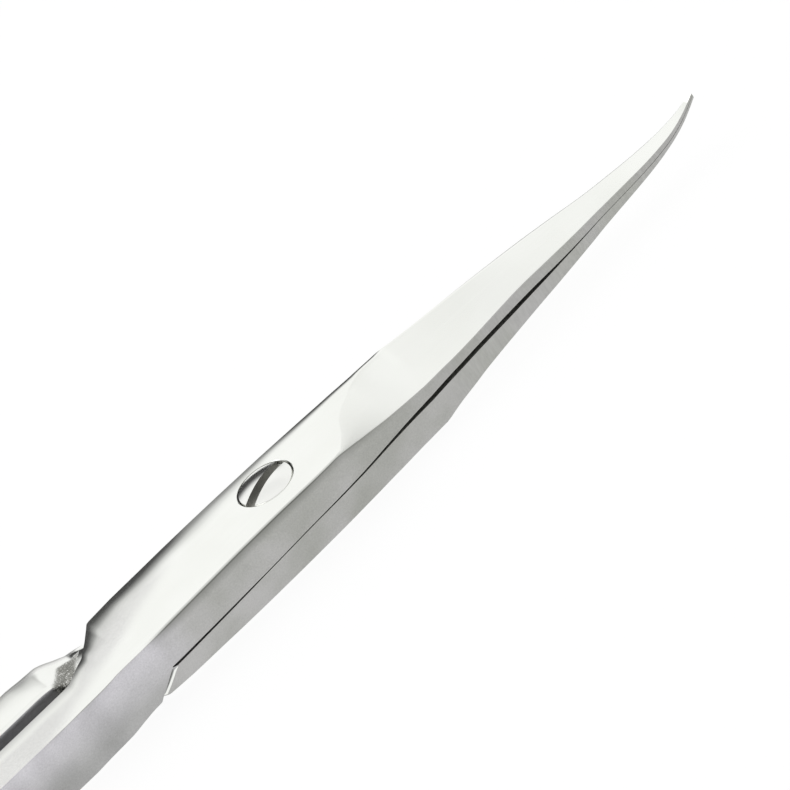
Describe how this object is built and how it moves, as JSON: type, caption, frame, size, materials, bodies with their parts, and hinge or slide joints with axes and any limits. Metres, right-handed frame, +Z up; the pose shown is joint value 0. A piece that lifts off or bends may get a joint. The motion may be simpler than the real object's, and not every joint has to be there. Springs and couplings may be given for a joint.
{
  "type": "nail scissors",
  "caption": "Curved nail scissors with lapped blades, oval finger rings and a slotted pivot screw.",
  "frame": {"origin": "middle of the closed scissors on the plane they lie on", "axes": "+X from the finger rings to the tips, +Z up along the pivot axis to the screw's head, with the tips curving up; the upper half's finger ring is on -Y"},
  "size_m": [0.096, 0.049, 0.0044],
  "materials": {
    "forged_steel": "polished faces, fine ground edges",
    "screw_steel": "polished"
  },
  "bodies": {
    "lower_half": {"thread_side_half": "forged_steel"},
    "upper_half": {"screw_side_half": "forged_steel"},
    "screw": {"pivot_screw": "screw_steel"}
  },
  "joints": [
    {"name": "blade_pivot", "type": "hinge", "parent": "lower_half", "child": "upper_half", "pos_m": [0.01532, 0, 0.00208], "axis": [0, 0, 1], "range_deg": [0, 50]},
    {"name": "screw_turn", "type": "hinge", "parent": "lower_half", "child": "screw", "pos_m": [0.01532, 0, 0.00208], "axis": [0, 0, 1], "range_deg": [-45, 45]}
  ]
}
